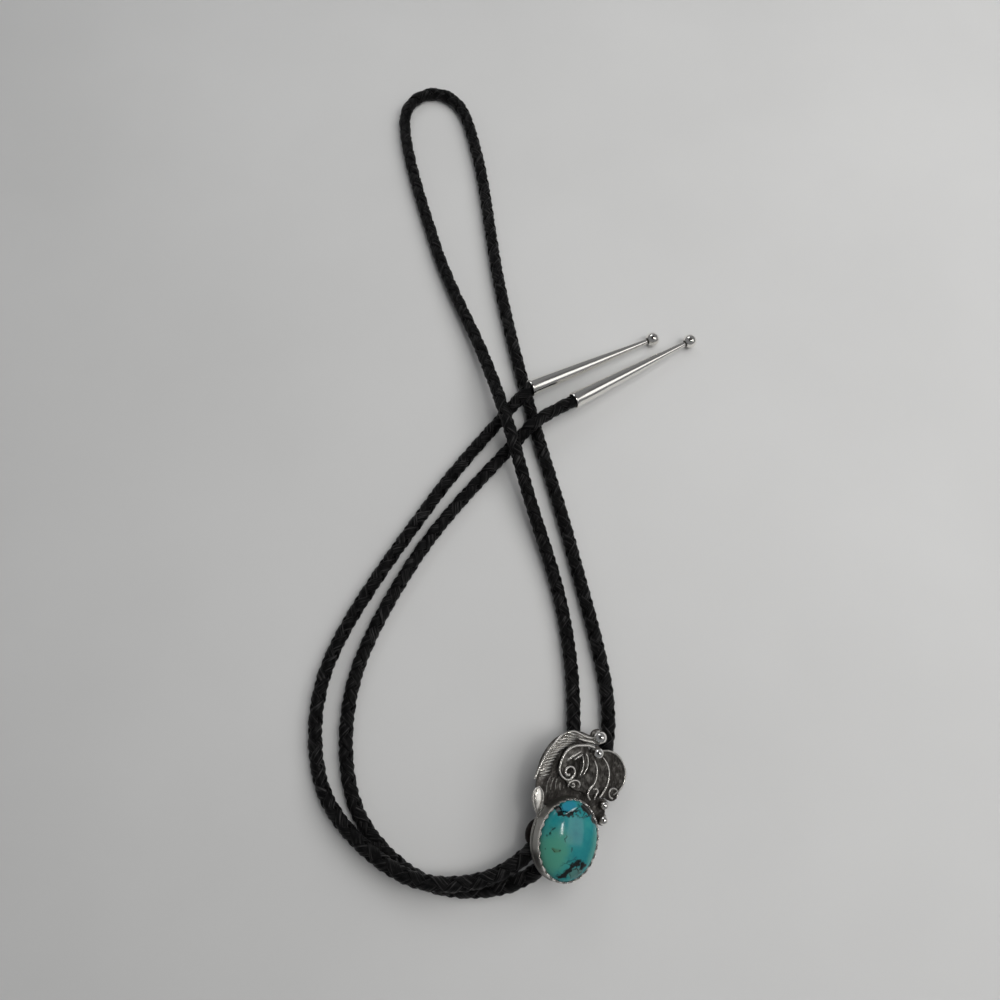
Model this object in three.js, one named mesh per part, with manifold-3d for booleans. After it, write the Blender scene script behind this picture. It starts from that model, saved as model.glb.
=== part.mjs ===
// A bolo tie: a silver slide with a turquoise cabochon on one long braided leather cord with two silver tips.
// Millimetres. The tie lies on a table at z = 0, x to the right and y away from the wearer's end of the table.
// The origin is on the table, under the middle of the slide.
import * as THREE from "three";
import { mergeVertices } from "three/addons/utils/BufferGeometryUtils.js";
import Module from "manifold-3d";

const wasm = await Module();
wasm.setup();

// Cord
const CORD_DIAMETER = 4.5;
const CORD_SIDES = 10;
const STEPS_PER_POINT = 2;
const CORD_CLEARANCE = 0.35;

// Stone and its bezel
const STONE_WIDTH = 17.4;
const STONE_LENGTH = 22.0;
const STONE_GIRDLE = 3.9;
const STONE_DOME = 3.4;
const SEAT_GAP = 0.3;
const BEZEL_WALL = 0.55;
const BEZEL_HEIGHT = 5.0;
const BEZEL_LEDGE = 0.5;
const SCALLOPS = 28;
const SCALLOP_DEPTH = 0.45;

// Silver sheet, wire and balls of the slide, from the centre of the stone upwards
const PLATE_THICKNESS = 1.0;
const LOBE_STEP = 0.5;
const WIRE_RADIUS = 0.34;
const WIRE_SIDES = 6;
const CREST_HEIGHT = 31.0;
const CREST_HALF_WIDTH = 12.0;
const FEATHER_WIDTH = 4.0;
const FEATHER_RELIEF = 0.7;
const BARBS = 15;
const BARB_WIDTH = 0.3;
const BARB_RELIEF = 0.4;
const ROUND_LEAF_RADIUS = 7.0;
const MIDDLE_LOBE_RADIUS = 6.1;
const SCROLL_FIELD_RADIUS = 5.5;
const TOP_BALL_RADIUS = 2.0;
const SECOND_BALL_RADIUS = 1.65;
const SIDE_BALL_RADIUS = 1.4;
const BALL_SEAT_RIM = 0.35;

// Clip behind the slide: two channels side by side, one for each run of the cord
const CLIP_LENGTH = 18.0;
const CLIP_WALL = 0.85;
const CLIP_WEB = 0.9;
const CLIP_TURN = 20;
const CLIP_ACROSS = -0.2;
const CLIP_ALONG = 3.1;
const CLIP_GAP = 0.3;

// Tips: hollow silver cones that end in a ball
const TIP_LENGTH = 50.5;
const TIP_MOUTH_RADIUS = 2.95;
const TIP_SOCKET_DEPTH = 8.0;
const TIP_SOCKET_CLEARANCE = 0.32;
const TIP_NECK_RADIUS = 0.7;
const TIP_BALL_RADIUS = 2.15;
const TIP_SIDES = 16;

// How the slide lies: its long axis leans to the right at the top, and its left side is lifted by the cords
const SLIDE_LEAN = 14;
const SLIDE_ROLL = 18;

const silver = new THREE.MeshStandardMaterial({ color: 0xb9b5ae, roughness: 0.35, metalness: 1.0 });
const turquoise = new THREE.MeshStandardMaterial({ color: 0x2c8f96, roughness: 0.25, metalness: 0.0 });
const tarnished = new THREE.MeshStandardMaterial({ color: 0x3a2a22, roughness: 0.6, metalness: 0.6 });
const leather = new THREE.MeshStandardMaterial({ color: 0x0e0d0d, roughness: 0.55, metalness: 0.0 });

const degrees = THREE.MathUtils.degToRad;

// Turns a closed three.js geometry into a solid that can be joined or cut.
function solidFrom(geometry) {
  const plain = geometry.index ? geometry.toNonIndexed() : geometry.clone();
  plain.deleteAttribute("normal");
  plain.deleteAttribute("uv");
  const merged = mergeVertices(plain, 1e-4);
  return new wasm.Manifold(
    new wasm.Mesh({
      numProp: 3,
      vertProperties: new Float32Array(merged.attributes.position.array),
      triVerts: new Uint32Array(merged.index.array),
    }),
  );
}

function geometryFrom(solid) {
  const mesh = solid.getMesh();
  const geometry = new THREE.BufferGeometry();
  geometry.setAttribute("position", new THREE.BufferAttribute(mesh.vertProperties, 3));
  geometry.setIndex(new THREE.BufferAttribute(mesh.triVerts, 1));
  geometry.computeVertexNormals();
  return geometry;
}

function joined(geometries) {
  return geometries.map(solidFrom).reduce((whole, piece) => whole.add(piece));
}

// A flat oval plate from height low to height high.
function ovalPlate(x, y, halfWidth, halfLength, low, high, segments) {
  const oval = new THREE.CylinderGeometry(1, 1, high - low, segments);
  oval.rotateX(Math.PI / 2);
  oval.scale(halfWidth, halfLength, 1);
  oval.translate(x, y, (low + high) / 2);
  return oval;
}

function ball(x, y, z, radius) {
  return new THREE.SphereGeometry(radius, 14, 10).translate(x, y, z);
}

// A round wire along a curve.
function wire(curve, radius, steps) {
  const section = new THREE.Shape();
  for (let side = 0; side < WIRE_SIDES; side += 1) {
    const angle = (side / WIRE_SIDES) * 2 * Math.PI;
    const x = radius * Math.cos(angle);
    const y = radius * Math.sin(angle);
    if (side === 0) section.moveTo(x, y);
    else section.lineTo(x, y);
  }
  return new THREE.ExtrudeGeometry(section, { extrudePath: curve, steps, bevelEnabled: false });
}

// A wire through points given as shares of the crest's half width and height.
function crestWire(shares, height, radius) {
  const points = shares.map(
    ([across, up]) => new THREE.Vector3(across * CREST_HALF_WIDTH, up * CREST_HEIGHT, height),
  );
  return wire(new THREE.CatmullRomCurve3(points), radius, 2 * points.length);
}

// A wire along part of a circle that lies flat.
class FlatArc extends THREE.Curve {
  constructor(x, y, z, radius, fromDegrees, toDegrees) {
    super();
    Object.assign(this, { x, y, z, radius, from: degrees(fromDegrees), to: degrees(toDegrees) });
  }
  getPoint(t, target = new THREE.Vector3()) {
    const angle = this.from + (this.to - this.from) * t;
    return target.set(this.x + this.radius * Math.cos(angle), this.y + this.radius * Math.sin(angle), this.z);
  }
}

const bezelInnerWidth = STONE_WIDTH / 2 + SEAT_GAP;
const bezelInnerLength = STONE_LENGTH / 2 + SEAT_GAP;

// The bezel is a thin oval wall. Its upper edge is a row of scallops pushed over the stone.
function bezel() {
  const corners = 2 * SCALLOPS;
  const ring = new THREE.Shape();
  const opening = new THREE.Path();
  for (let corner = 0; corner < corners; corner += 1) {
    const angle = (corner / corners) * 2 * Math.PI;
    const outerX = (bezelInnerWidth + BEZEL_WALL) * Math.cos(angle);
    const outerY = (bezelInnerLength + BEZEL_WALL) * Math.sin(angle);
    const innerX = bezelInnerWidth * Math.cos(angle);
    const innerY = bezelInnerLength * Math.sin(angle);
    if (corner === 0) {
      ring.moveTo(outerX, outerY);
      opening.moveTo(innerX, innerY);
    } else {
      ring.lineTo(outerX, outerY);
      opening.lineTo(innerX, innerY);
    }
  }
  ring.holes.push(opening);
  const wall = new THREE.ExtrudeGeometry(ring, { depth: PLATE_THICKNESS + BEZEL_HEIGHT, bevelEnabled: false });
  const position = wall.getAttribute("position");
  for (let index = 0; index < position.count; index += 1) {
    if (position.getZ(index) < BEZEL_HEIGHT) continue;
    const angle = Math.atan2(position.getY(index) / bezelInnerLength, position.getX(index) / bezelInnerWidth);
    const corner = Math.round((angle / (2 * Math.PI)) * corners);
    if (corner % 2 !== 0) position.setZ(index, position.getZ(index) - SCALLOP_DEPTH);
  }
  return wall;
}

// The feather's spine, from its root under the top balls round the left edge to its tip, as shares of the crest.
const featherSpine = new THREE.CatmullRomCurve3(
  [
    [0.27, 0.935],
    [-0.25, 0.915],
    [-0.62, 0.81],
    [-0.82, 0.66],
    [-0.88, 0.5],
    [-0.865, 0.335],
    [-0.8, 0.165],
  ].map(([across, up]) => new THREE.Vector3(across * CREST_HALF_WIDTH, up * CREST_HEIGHT, 0)),
);

// A long leaf along the spine between two stations, domed, with a share of the feather's width at each section.
function leafAlongSpine(from, to, base, relief, widths) {
  const sections = widths.length;
  const positions = [];
  const faces = [];
  const across = new THREE.Vector3();
  for (let section = 0; section < sections; section += 1) {
    const station = from + ((to - from) * section) / (sections - 1);
    const middle = featherSpine.getPointAt(station);
    const along = featherSpine.getTangentAt(station);
    across.set(-along.y, along.x, 0);
    const half = (FEATHER_WIDTH / 2) * widths[section];
    const heights = [0, base, base + relief * Math.sqrt(widths[section]), base, 0];
    const places = [-1, -1, 0, 1, 1];
    places.forEach((place, index) => {
      const point = middle.clone().addScaledVector(across, place * half);
      positions.push(point.x, point.y, heights[index]);
    });
  }
  const ring = 5;
  for (let section = 0; section + 1 < sections; section += 1) {
    for (let corner = 0; corner < ring; corner += 1) {
      const next = (corner + 1) % ring;
      const a = section * ring + corner;
      const b = section * ring + next;
      faces.push(a, b + ring, b, a, a + ring, b + ring);
    }
  }
  const last = (sections - 1) * ring;
  for (let corner = 1; corner + 1 < ring; corner += 1) {
    faces.push(0, corner, corner + 1);
    faces.push(last, last + corner + 1, last + corner);
  }
  const leaf = new THREE.BufferGeometry();
  leaf.setAttribute("position", new THREE.BufferAttribute(new Float32Array(positions), 3));
  leaf.setIndex(faces);
  return leaf;
}

// The barbs' two ends run along these lines, from the top of the feather round to its dark break, as shares of the
// crest: one under the feather's rim, the other beside the big scroll.
const [barbRoots, barbEnds] = [
  [
    [-0.49, 0.935],
    [-0.71, 0.815],
    [-0.88, 0.7],
    [-0.94, 0.6],
    [-1.0, 0.475],
  ],
  [
    [-0.22, 0.925],
    [-0.26, 0.855],
    [-0.55, 0.755],
    [-0.68, 0.64],
    [-0.725, 0.52],
  ],
].map(
  (shares) =>
    new THREE.CatmullRomCurve3(
      shares.map(([across, up]) => new THREE.Vector3(across * CREST_HALF_WIDTH, up * CREST_HEIGHT, 0)),
    ),
);

// Raised barbs across the feather.
function barbs(height) {
  const pieces = [];
  for (let barb = 0; barb < BARBS; barb += 1) {
    const share = barb / (BARBS - 1);
    const root = barbRoots.getPoint(share);
    const end = barbEnds.getPoint(share);
    const ridge = new THREE.SphereGeometry(1, 6, 4);
    ridge.scale(root.distanceTo(end) / 2, BARB_WIDTH, BARB_RELIEF);
    ridge.rotateZ(Math.atan2(end.y - root.y, end.x - root.x));
    ridge.translate((root.x + end.x) / 2, (root.y + end.y) / 2, height);
    pieces.push(ridge);
  }
  return pieces;
}

// Three round lobes step down from the scroll field to the round leaf at the right.
const lobes = [
  { across: 0.75, up: 0.648, radius: ROUND_LEAF_RADIUS, level: 1, edge: [112, -52] },
  { across: 0.36, up: 0.618, radius: MIDDLE_LOBE_RADIUS, level: 2, edge: [58, -58] },
  { across: 0.07, up: 0.6, radius: SCROLL_FIELD_RADIUS, level: 3, edge: [44, -62] },
];

function lobePieces() {
  const pieces = [];
  for (const { across, up, radius, level, edge } of lobes) {
    const x = across * CREST_HALF_WIDTH;
    const y = up * CREST_HEIGHT;
    const top = PLATE_THICKNESS + level * LOBE_STEP;
    pieces.push(ovalPlate(x, y, radius, radius, 0, top, 32));
    pieces.push(wire(new FlatArc(x, y, top, radius - WIRE_RADIUS, edge[0], edge[1]), WIRE_RADIUS, 14));
  }
  return pieces;
}

// Scroll wires, as shares of the crest's half width and height.
const scrollTop = PLATE_THICKNESS + 3 * LOBE_STEP;
const leafTop = PLATE_THICKNESS + LOBE_STEP;
const middleTop = PLATE_THICKNESS + 2 * LOBE_STEP;

function scrollPieces() {
  const bigScroll = [
    [0.27, 0.852],
    [-0.12, 0.842],
    [-0.37, 0.79],
    [-0.53, 0.69],
    [-0.54, 0.597],
    [-0.45, 0.532],
    [-0.3, 0.506],
    [-0.175, 0.526],
    [-0.125, 0.577],
    [-0.21, 0.626],
    [-0.31, 0.616],
    [-0.36, 0.574],
    [-0.29, 0.55],
  ];
  const smallScroll = [
    [-0.22, 0.445],
    [-0.19, 0.495],
    [-0.06, 0.526],
    [0.06, 0.505],
    [0.05, 0.46],
    [-0.06, 0.45],
  ];
  const outerVein = [
    [0.06, 0.77],
    [0.165, 0.697],
    [0.165, 0.642],
    [0.11, 0.59],
  ];
  const innerVein = [
    [-0.01, 0.735],
    [0.08, 0.652],
    [0.03, 0.59],
  ];
  const longStroke = [
    [-0.32, 0.72],
    [-0.21, 0.765],
    [-0.09, 0.806],
  ];
  const shortStroke = [
    [-0.14, 0.735],
    [-0.07, 0.765],
    [0, 0.793],
  ];
  const hook = [
    [0.51, 0.465],
    [0.58, 0.487],
    [0.58, 0.442],
    [0.56, 0.4],
  ];
  const curl = [
    [1.18, 0.474],
    [1.15, 0.535],
    [1.01, 0.542],
    [0.925, 0.487],
    [1.0, 0.439],
  ];
  return [
    crestWire(bigScroll, scrollTop, WIRE_RADIUS),
    crestWire(smallScroll, scrollTop, WIRE_RADIUS),
    crestWire(outerVein, scrollTop, WIRE_RADIUS),
    crestWire(innerVein, scrollTop, WIRE_RADIUS),
    crestWire(longStroke, scrollTop, 1.5 * WIRE_RADIUS),
    crestWire(shortStroke, scrollTop, 1.5 * WIRE_RADIUS),
    crestWire(hook, middleTop, WIRE_RADIUS),
    crestWire(curl, leafTop, WIRE_RADIUS),
  ];
}

// Silver balls, each on a little round seat of the plate.
const balls = [
  { across: 0.35, up: 0.961, radius: TOP_BALL_RADIUS },
  { across: 0.425, up: 0.816, radius: SECOND_BALL_RADIUS },
  { across: 0.88, up: 0.365, radius: SIDE_BALL_RADIUS },
  { across: 0.93, up: 0.235, radius: SIDE_BALL_RADIUS },
];

function ballPieces() {
  const pieces = [];
  for (const { across, up, radius } of balls) {
    const x = across * CREST_HALF_WIDTH;
    const y = up * CREST_HEIGHT;
    const seat = radius + BALL_SEAT_RIM;
    pieces.push(ovalPlate(x, y, seat, seat, 0, PLATE_THICKNESS, 20));
    pieces.push(ball(x, y, PLATE_THICKNESS + 0.75 * radius, radius));
  }
  return pieces;
}

// Oval plates behind the crest, as shares of its half width and height: the ground, the scroll field on it, the
// ground that joins the feather's leaf and the lobes to the plate behind the stone, and a tab at the right that
// carries the two side balls. Each has its height above the back plate.
function crestPlates() {
  const plates = [
    { across: -0.2, up: 0.58, halfAcross: 0.6, halfUp: 0.35, raised: 0.4 * LOBE_STEP },
    { across: -0.13, up: 0.68, halfAcross: 0.46, halfUp: 0.2, raised: 3 * LOBE_STEP },
    { across: -0.5, up: 0.4, halfAcross: 0.38, halfUp: 0.17, raised: 0.2 * LOBE_STEP },
    { across: 0.35, up: 0.4, halfAcross: 0.42, halfUp: 0.09, raised: 0.2 * LOBE_STEP },
    { across: 0.76, up: 0.3, halfAcross: 0.22, halfUp: 0.12, raised: 0 },
  ];
  return plates.map(({ across, up, halfAcross, halfUp, raised }) =>
    ovalPlate(
      across * CREST_HALF_WIDTH,
      up * CREST_HEIGHT,
      halfAcross * CREST_HALF_WIDTH,
      halfUp * CREST_HEIGHT,
      0,
      PLATE_THICKNESS + raised,
      36,
    ),
  );
}

// All the silver of the slide is soldered, so it is one solid.
function slideSetting() {
  const ledge = BEZEL_WALL + BEZEL_LEDGE;
  const pieces = [
    ovalPlate(0, 0, bezelInnerWidth + ledge, bezelInnerLength + ledge, 0, PLATE_THICKNESS, 48),
    ...crestPlates(),
    bezel(),
    leafAlongSpine(0, 0.74, PLATE_THICKNESS + LOBE_STEP, FEATHER_RELIEF, [0.35, 0.8, 1, 1.05, 1.05, 1, 1, 0.95, 0.8]),
    leafAlongSpine(0.72, 0.8, 0.9 * PLATE_THICKNESS, 0.2 * FEATHER_RELIEF, [0.7, 0.6]),
    leafAlongSpine(0.78, 1, PLATE_THICKNESS + LOBE_STEP, FEATHER_RELIEF, [0.5, 0.85, 0.95, 0.8, 0.45, 0.05]),
    ...barbs(PLATE_THICKNESS + LOBE_STEP + 0.72 * FEATHER_RELIEF),
    ...lobePieces(),
    ...scrollPieces(),
    ...ballPieces(),
  ];
  return geometryFrom(joined(pieces));
}

// An oval cabochon with an upright girdle and a domed top.
function stone() {
  const profile = [new THREE.Vector2(0, 0), new THREE.Vector2(1, 0), new THREE.Vector2(1, STONE_GIRDLE)];
  const rounds = 7;
  for (let round = 1; round <= rounds; round += 1) {
    const angle = ((round / rounds) * Math.PI) / 2;
    const out = round === rounds ? 0 : Math.cos(angle) ** 0.85;
    profile.push(new THREE.Vector2(out, STONE_GIRDLE + STONE_DOME * Math.sin(angle)));
  }
  const dome = new THREE.LatheGeometry(profile, 36);
  dome.rotateX(Math.PI / 2);
  dome.scale(STONE_WIDTH / 2, STONE_LENGTH / 2, 1);
  return dome;
}

const channelRadius = CORD_DIAMETER / 2 + CORD_CLEARANCE;
const channelOffset = channelRadius + CLIP_WEB / 2;
const clipHalfHeight = channelRadius + CLIP_WALL;

// The clip is a flattened double tube. Its channels run along y, and its back is a flat face.
function clip() {
  const outline = new THREE.Shape();
  outline.absarc(channelOffset, 0, clipHalfHeight, -Math.PI / 2, Math.PI / 2, false);
  outline.absarc(-channelOffset, 0, clipHalfHeight, Math.PI / 2, (3 * Math.PI) / 2, false);
  for (const side of [-1, 1]) {
    const channel = new THREE.Path();
    channel.absarc(side * channelOffset, 0, channelRadius, 0, 2 * Math.PI, true);
    outline.holes.push(channel);
  }
  const body = new THREE.ExtrudeGeometry(outline, { depth: CLIP_LENGTH, bevelEnabled: false, curveSegments: 12 });
  body.translate(0, 0, -CLIP_LENGTH / 2);
  body.rotateX(Math.PI / 2);
  return geometryFrom(solidFrom(body));
}

// A hollow cone from its mouth at y = 0 to a ball at its far end.
function tip() {
  const socket = CORD_DIAMETER / 2 + TIP_SOCKET_CLEARANCE;
  const ballCentre = TIP_LENGTH;
  const neckAngle = Math.asin(TIP_NECK_RADIUS / TIP_BALL_RADIUS);
  const profile = [
    new THREE.Vector2(0, TIP_SOCKET_DEPTH),
    new THREE.Vector2(socket * 0.88, TIP_SOCKET_DEPTH),
    new THREE.Vector2(socket, 0),
    new THREE.Vector2(TIP_MOUTH_RADIUS, 0),
    new THREE.Vector2(THREE.MathUtils.lerp(TIP_MOUTH_RADIUS, TIP_NECK_RADIUS, 0.42), 0.5 * ballCentre),
    new THREE.Vector2(TIP_NECK_RADIUS * 1.35, 0.82 * ballCentre),
  ];
  const rounds = 8;
  for (let round = 0; round <= rounds; round += 1) {
    const angle = neckAngle + ((Math.PI - neckAngle) * round) / rounds;
    const out = round === rounds ? 0 : TIP_BALL_RADIUS * Math.sin(angle);
    profile.push(new THREE.Vector2(out, ballCentre - TIP_BALL_RADIUS * Math.cos(angle)));
  }
  return new THREE.LatheGeometry(profile, TIP_SIDES);
}

// The cord's route, from inside the upper tip down its tail, through the clip, round the neck loop, back through
// the clip and along the lower tail into the other tip.
const cordRoute = [
  [-7.7, 138.6, 7.4],
  [-12.1, 136.4, 8.0],
  [-21.9, 127.0, 3.9],
  [-47.0, 95.2, 2.3],
  [-79.0, 38.5, 2.3],
  [-79.0, 9.0, 2.3],
  [-69.5, -6.4, 5.3],
  [-47.5, -20.6, 7.7],
  [-27.0, -20.5, 6.8],
  [-13.3, -12.4, 7.2],
  [-7.9, -4.1, 6.2],
  [-2.5, 4.2, 5.1],
  [0.4, 29.0, 2.4],
  [-2.6, 60.0, 2.3],
  [-13.2, 98.0, 5.2],
  [-19.7, 121.0, 9.7],
  [-28.5, 150.0, 5.0],
  [-47.5, 199.0, 2.3],
  [-61.5, 264.4, 2.3],
  [-55.0, 273.1, 2.3],
  [-47.1, 273.8, 2.3],
  [-39.8, 268.0, 2.3],
  [-32.3, 244.0, 2.3],
  [-22.8, 181.0, 2.3],
  [-12.3, 132.0, 2.3],
  [1.6, 78.0, 2.3],
  [11.2, 30.0, 2.3],
  [9.4, 13.0, 2.6],
  [2.3, 0.9, 3.4],
  [-3.1, -7.5, 4.4],
  [-8.5, -15.8, 5.5],
  [-23.0, -23.4, 3.0],
  [-46.0, -21.6, 2.3],
  [-66.3, -2.5, 2.3],
  [-70.3, 32.0, 2.3],
  [-51.0, 76.5, 2.3],
  [-18.0, 117.0, 3.6],
  [-10.2, 123.8, 7.7],
  [3.2, 132.4, 6.2],
  [7.6, 134.9, 5.8],
];
const upperBall = [33.4, 159.1, TIP_BALL_RADIUS];
const lowerBall = [47.0, 158.2, TIP_BALL_RADIUS];

// A smooth route whose steps are shared out evenly between the chosen points, so that the tube has more of them
// where the points are close. The table holds the cord up where the curve would dip below it.
class CordCurve extends THREE.CatmullRomCurve3 {
  getPoint(t, target = new THREE.Vector3()) {
    super.getPoint(t, target);
    target.z = Math.max(target.z, CORD_DIAMETER / 2);
    return target;
  }
  getPointAt(share, target) {
    return this.getPoint(share, target);
  }
  getTangentAt(share, target) {
    return this.getTangent(share, target);
  }
}

function cordTube() {
  const path = new CordCurve(cordRoute.map(([x, y, z]) => new THREE.Vector3(x, y, z)));
  const section = new THREE.Shape();
  for (let side = 0; side < CORD_SIDES; side += 1) {
    const angle = (side / CORD_SIDES) * 2 * Math.PI;
    const x = (CORD_DIAMETER / 2) * Math.cos(angle);
    const y = (CORD_DIAMETER / 2) * Math.sin(angle);
    if (side === 0) section.moveTo(x, y);
    else section.lineTo(x, y);
  }
  const steps = STEPS_PER_POINT * (cordRoute.length - 1);
  return new THREE.ExtrudeGeometry(section, { extrudePath: path, steps, bevelEnabled: false });
}

function named(name, geometry, material) {
  const mesh = new THREE.Mesh(geometry, material);
  mesh.name = name;
  return mesh;
}

// The slide's pieces share a frame with its origin at the back of the plate, behind the stone.
function slide() {
  const rolled = new THREE.Group();
  rolled.rotation.y = degrees(SLIDE_ROLL);
  rolled.add(named("slide_setting", slideSetting(), silver));

  const cabochon = named("turquoise_stone", stone(), turquoise);
  cabochon.position.z = PLATE_THICKNESS + SEAT_GAP;
  rolled.add(cabochon);

  const back = named("back_clip", clip(), tarnished);
  back.rotation.z = -degrees(CLIP_TURN);
  back.position.set(CLIP_ACROSS, CLIP_ALONG, -CLIP_GAP - clipHalfHeight);
  rolled.add(back);

  const leaned = new THREE.Group();
  leaned.rotation.z = -degrees(SLIDE_LEAN);
  leaned.add(rolled);
  const placed = new THREE.Group();
  placed.add(leaned);
  placed.updateMatrixWorld(true);
  const bounds = new THREE.Box3().setFromObject(placed, true);
  const middle = bounds.getCenter(new THREE.Vector3());
  leaned.position.set(-middle.x, -middle.y, -bounds.min.z);
  return placed;
}

// A tip lies along the line from the second point of its end of the cord to its ball on the table.
function tipAt(name, mouth, ballPlace) {
  const from = new THREE.Vector3(...mouth);
  const direction = new THREE.Vector3(...ballPlace).sub(from).normalize();
  const mesh = named(name, tip(), silver);
  mesh.quaternion.setFromUnitVectors(new THREE.Vector3(0, 1, 0), direction);
  mesh.position.copy(from);
  return mesh;
}

const boloTie = new THREE.Group();
boloTie.add(slide());
boloTie.add(named("braided_cord", cordTube(), leather));
boloTie.add(tipAt("tip_upper", cordRoute[1], upperBall));
boloTie.add(tipAt("tip_lower", cordRoute[cordRoute.length - 2], lowerBall));

export default boloTie;
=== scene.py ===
# %% [markdown]
# A bolo tie is a neck cord with a sliding ornament. This one lies on a pale table: a silver slide with a
# turquoise stone, a long braided leather cord and two silver tips. Every piece is built here around a
# solid model of the same tie, which says where each thing is and how big it is.

# %% Load the solid model
import contextlib
import math

import bmesh
import bpy
import numpy as np
from mathutils import Matrix, Vector


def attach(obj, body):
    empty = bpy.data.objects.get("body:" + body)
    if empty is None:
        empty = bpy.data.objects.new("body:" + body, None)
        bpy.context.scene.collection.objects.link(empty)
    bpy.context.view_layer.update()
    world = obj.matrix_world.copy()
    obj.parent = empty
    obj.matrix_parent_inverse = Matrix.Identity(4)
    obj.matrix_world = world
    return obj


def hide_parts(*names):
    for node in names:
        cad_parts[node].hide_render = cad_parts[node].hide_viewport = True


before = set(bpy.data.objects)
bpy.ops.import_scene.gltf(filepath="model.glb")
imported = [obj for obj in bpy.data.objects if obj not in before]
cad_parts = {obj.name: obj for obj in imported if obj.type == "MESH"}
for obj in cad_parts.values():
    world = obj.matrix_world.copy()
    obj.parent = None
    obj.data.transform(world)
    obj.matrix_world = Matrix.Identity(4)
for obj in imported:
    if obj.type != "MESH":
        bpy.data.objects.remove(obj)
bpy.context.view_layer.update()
MM = 0.001

# %% [markdown]
# The camera comes first, because everything else is judged through it. The picture was taken from about 25
# cm above the table, nearly straight down, with a wide phone lens. The tilt, the height and the lens were
# worked out from the places of known lengths in the picture.

# %% Camera
CAMERA_PLACE = (-22.845 * MM, 18.126 * MM, 248.804 * MM)
CAMERA_TILT = math.radians(17.7)
CAMERA_LENS = 27.04

bpy.ops.object.camera_add(location=CAMERA_PLACE, rotation=(CAMERA_TILT, 0, 0))
camera = bpy.context.object
camera.name = "camera"
camera.data.lens = CAMERA_LENS
camera.data.sensor_width = 36
camera.data.clip_start = 0.01
bpy.context.scene.camera = camera
print("camera looks down from", round(CAMERA_PLACE[2] / MM), "mm")

# %% [markdown]
# An operator acts on all that is selected, so a piece is always picked alone first. In edit mode its faces
# or points are chosen by a test on their place or direction.


# %% Helpers for picking and shaping
def pick(*pieces):
    """Select only these pieces, the last one active."""
    bpy.ops.object.select_all(action="DESELECT")
    for piece in pieces:
        piece.select_set(True)
        bpy.context.view_layer.objects.active = piece


def settle(piece):
    """Write the piece's place, turn and scale into its mesh."""
    pick(piece)
    bpy.ops.object.transform_apply(location=True, rotation=True, scale=True)


@contextlib.contextmanager
def editing(piece):
    """Edit one piece, at first with all of it selected, for as long as the block lasts."""
    pick(piece)
    bpy.ops.object.mode_set(mode="EDIT")
    bpy.ops.mesh.select_all(action="SELECT")
    yield
    bpy.ops.object.mode_set(mode="OBJECT")


def face_outward(piece):
    """Turn every face of the piece outward."""
    with editing(piece):
        bpy.ops.mesh.normals_make_consistent(inside=False)


def use_modifier(piece, kind, **settings):
    """Add a modifier with these settings and apply it."""
    pick(piece)
    modifier = piece.modifiers.new(kind.lower(), kind)
    for name, value in settings.items():
        setattr(modifier, name, value)
    bpy.ops.object.modifier_apply(modifier=modifier.name)


def round_edges(piece, width, segments, degrees):
    """Round the edges that are sharper than this, with the width in millimetres."""
    sharp = math.radians(degrees)
    use_modifier(piece, "BEVEL", width=width * MM, segments=segments, limit_method="ANGLE", angle_limit=sharp)


def join(name, pieces):
    """Make one piece of several."""
    pick(*pieces)
    if len(pieces) > 1:
        bpy.ops.object.join()
    whole = bpy.context.object
    whole.name = name
    whole.data.name = name
    return whole


def wire(points, radius, taper=None):
    """A round wire through the points, in millimetres, closed at both ends."""
    bpy.ops.curve.primitive_bezier_curve_add()
    curve = bpy.context.object
    spline = curve.data.splines[0]
    spline.bezier_points.add(len(points) - 2)
    for index, (knot, place) in enumerate(zip(spline.bezier_points, points)):
        knot.co = Vector(place) * MM
        knot.handle_left_type = "AUTO"
        knot.handle_right_type = "AUTO"
        knot.radius = taper[index] if taper else 1
    spline.resolution_u = 8
    curve.data.bevel_depth = radius * MM
    curve.data.bevel_resolution = 3
    curve.data.use_fill_caps = True
    curve.data.dimensions = "3D"
    pick(curve)
    bpy.ops.object.convert(target="MESH")
    return bpy.context.object


print("helpers ready")


# %% Helpers for edit mode, with lengths in millimetres
def choose(piece, kind, test):
    """Select the faces, edges or points that pass the test."""
    bpy.ops.mesh.select_mode(type=kind)
    bpy.ops.mesh.select_all(action="DESELECT")
    shape = bmesh.from_edit_mesh(piece.data)
    parts = {"FACE": shape.faces, "EDGE": shape.edges, "VERT": shape.verts}[kind]
    for part in parts:
        part.select = test(part)
    shape.select_flush_mode()
    bmesh.update_edit_mesh(piece.data)


def choose_cap(piece, way):
    """Select the flat end of many corners that looks straight up (1) or down (-1)."""
    choose(piece, "FACE", lambda face: way * face.normal.z > 0.98 and len(face.verts) > 8)


def raise_selected(height):
    """Move what is selected straight up, or down if the height is negative."""
    bpy.ops.transform.translate(value=(0, 0, height * MM))


def stretch_selected(across, up, out=1):
    """Scale what is selected from the middle of the piece's frame."""
    bpy.ops.transform.resize(value=(across, up, out), center_override=(0, 0, 0))


def cut_below(height):
    """Cut off all that is below this height and close the cut."""
    bpy.ops.mesh.bisect(plane_co=(0, 0, height * MM), plane_no=(0, 0, 1), clear_inner=True, use_fill=True)


def extrude_down(depth):
    """Draw the selected faces straight down."""
    bpy.ops.mesh.extrude_region_move(TRANSFORM_OT_translate={"value": (0, 0, -depth * MM)})


def draw_ring(outline):
    """Extrude the selected ring along an outline of heights and radii, in any unit of radius."""
    for (height, radius), (next_height, next_radius) in zip(outline, outline[1:]):
        rise = (next_height - height) * MM
        bpy.ops.mesh.extrude_edges_move(TRANSFORM_OT_translate={"value": (0, 0, rise)})
        stretch_selected(next_radius / radius, next_radius / radius)


print("edit mode helpers ready")

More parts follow.
